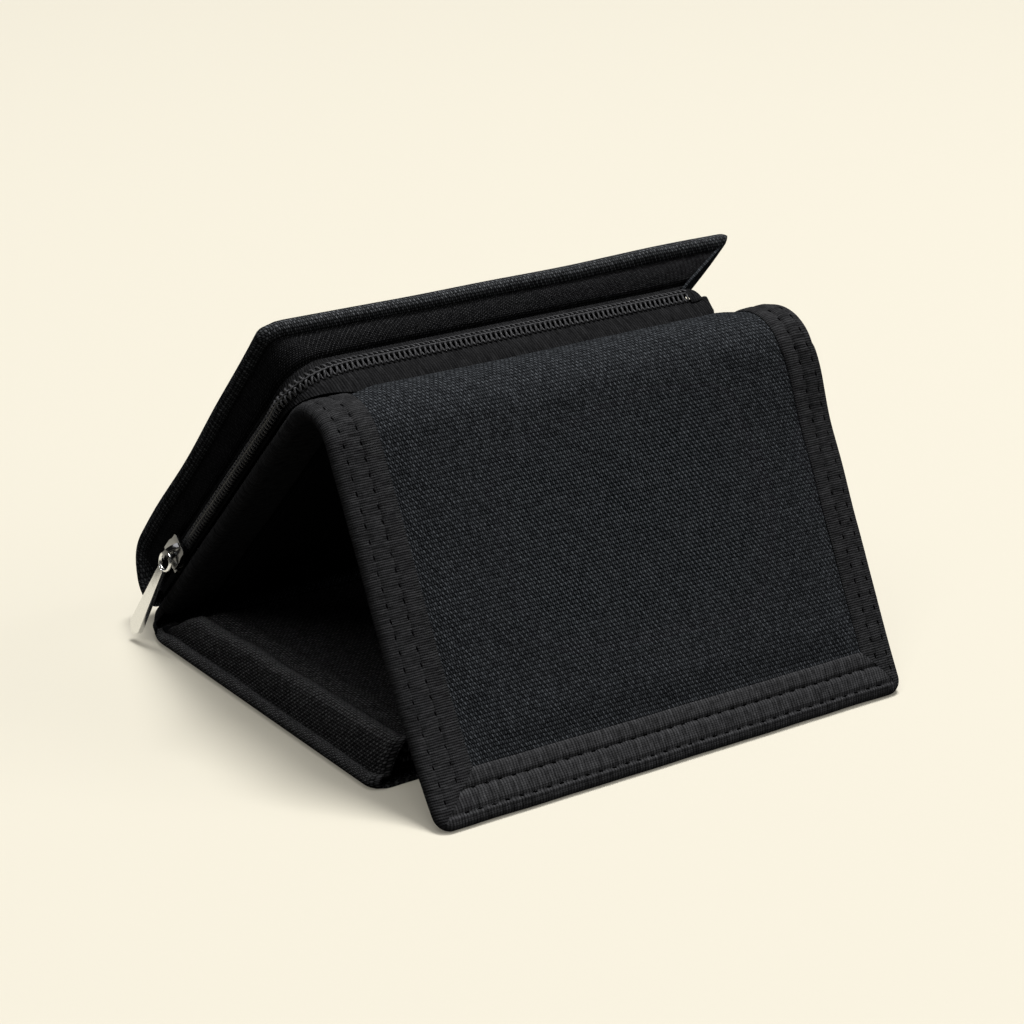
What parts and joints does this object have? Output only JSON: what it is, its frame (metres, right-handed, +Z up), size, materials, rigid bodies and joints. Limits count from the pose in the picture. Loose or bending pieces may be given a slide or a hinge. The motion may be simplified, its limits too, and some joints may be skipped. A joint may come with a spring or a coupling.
{
  "type": "wallet",
  "caption": "Folding nylon wallet stood up as a tent, with taped edges, card sleeves and a gusseted zip pocket on the back of its middle panel.",
  "frame": {"origin": "middle of the inner leaf's underside, which lies on the floor", "axes": "+X along the folds towards the pocket's pleated end, -X the end with the zip's slider; +Y from the front flap towards the fold at the back; +Z up from the floor"},
  "size_m": [0.1287, 0.1279, 0.0875],
  "materials": {
    "nylon": "coarse woven nylon with a slight sheen",
    "edge_tape": "ribbed woven tape",
    "lining": "fine twill, slightly shiny",
    "board": "plain stiffening board",
    "zip_coil": "satin nylon coil",
    "zip_metal": "bright plated"
  },
  "bodies": {
    "middle": {"middle_shell": "nylon", "middle_board": "board", "middle_lining": "lining", "middle_left_binding": "edge_tape", "middle_right_binding": "edge_tape", "middle_card_sleeve_1": "lining", "middle_card_sleeve_2": "lining", "middle_card_sleeve_3": "lining", "top_fold_shell": "nylon", "top_fold_lining": "lining", "top_fold_left_binding": "edge_tape", "top_fold_right_binding": "edge_tape", "bottom_fold_shell": "nylon", "bottom_fold_left_binding": "edge_tape", "bottom_fold_right_binding": "edge_tape", "zip_inner_tape": "edge_tape", "zip_outer_tape": "edge_tape", "zip_inner_coil": "zip_coil", "zip_outer_coil": "zip_coil", "zip_inner_stop": "zip_metal", "zip_outer_stop": "zip_metal", "zip_end_tab": "edge_tape"},
    "front_flap": {"flap_shell": "nylon", "flap_board": "board", "flap_lining": "lining", "flap_left_binding": "edge_tape", "flap_right_binding": "edge_tape", "flap_foot_binding": "edge_tape", "flap_card_sleeve": "lining"},
    "inner_leaf": {"leaf_shell": "nylon", "leaf_board": "board", "leaf_lining": "lining", "leaf_left_binding": "edge_tape", "leaf_right_binding": "edge_tape", "leaf_end_binding": "edge_tape", "leaf_card_sleeve_1": "lining", "leaf_card_sleeve_2": "lining", "leaf_card_sleeve_3": "lining"},
    "pocket_cover": {"cover_shell": "nylon", "cover_board": "board", "cover_lining": "lining", "pocket_band": "nylon", "pleat_outer_leaf": "nylon", "pleat_inner_leaf": "nylon"},
    "zip_slider": {"zip_slider": "zip_metal"},
    "zip_pull": {"zip_pull": "zip_metal"}
  },
  "joints": [
    {"name": "flap_fold", "type": "hinge", "parent": "middle", "child": "front_flap", "pos_m": [0, -0.0256, 0.07708], "axis": [1, 0, 0], "range_deg": [-107.8, 6], "deforming": ["top_fold_shell", "top_fold_lining", "top_fold_left_binding", "top_fold_right_binding"]},
    {"name": "leaf_fold", "type": "hinge", "parent": "middle", "child": "inner_leaf", "pos_m": [0, 0.0495, 0.0015], "axis": [1, 0, 0], "range_deg": [-11, 133.7], "deforming": ["bottom_fold_shell", "bottom_fold_left_binding", "bottom_fold_right_binding"]},
    {"name": "pocket_gape", "type": "hinge", "parent": "middle", "child": "pocket_cover", "pos_m": [0, 0.04977, 0.00412], "axis": [1, 0, 0], "range_deg": [-3, 3.5], "deforming": ["pocket_band", "pleat_outer_leaf", "pleat_inner_leaf"]},
    {"name": "zip_slide", "type": "slide", "parent": "middle", "child": "zip_slider", "axis": [0, -0.6909, 0.723], "range_m": [0, 0.048], "deforming": ["zip_inner_tape", "zip_outer_tape", "zip_inner_coil", "zip_outer_coil"]},
    {"name": "pull_swing", "type": "hinge", "parent": "zip_slider", "child": "zip_pull", "pos_m": [-0.06275, 0.03647, 0.02267], "axis": [0, 0.9157, 0.4019], "range_deg": [0, 125]}
  ]
}
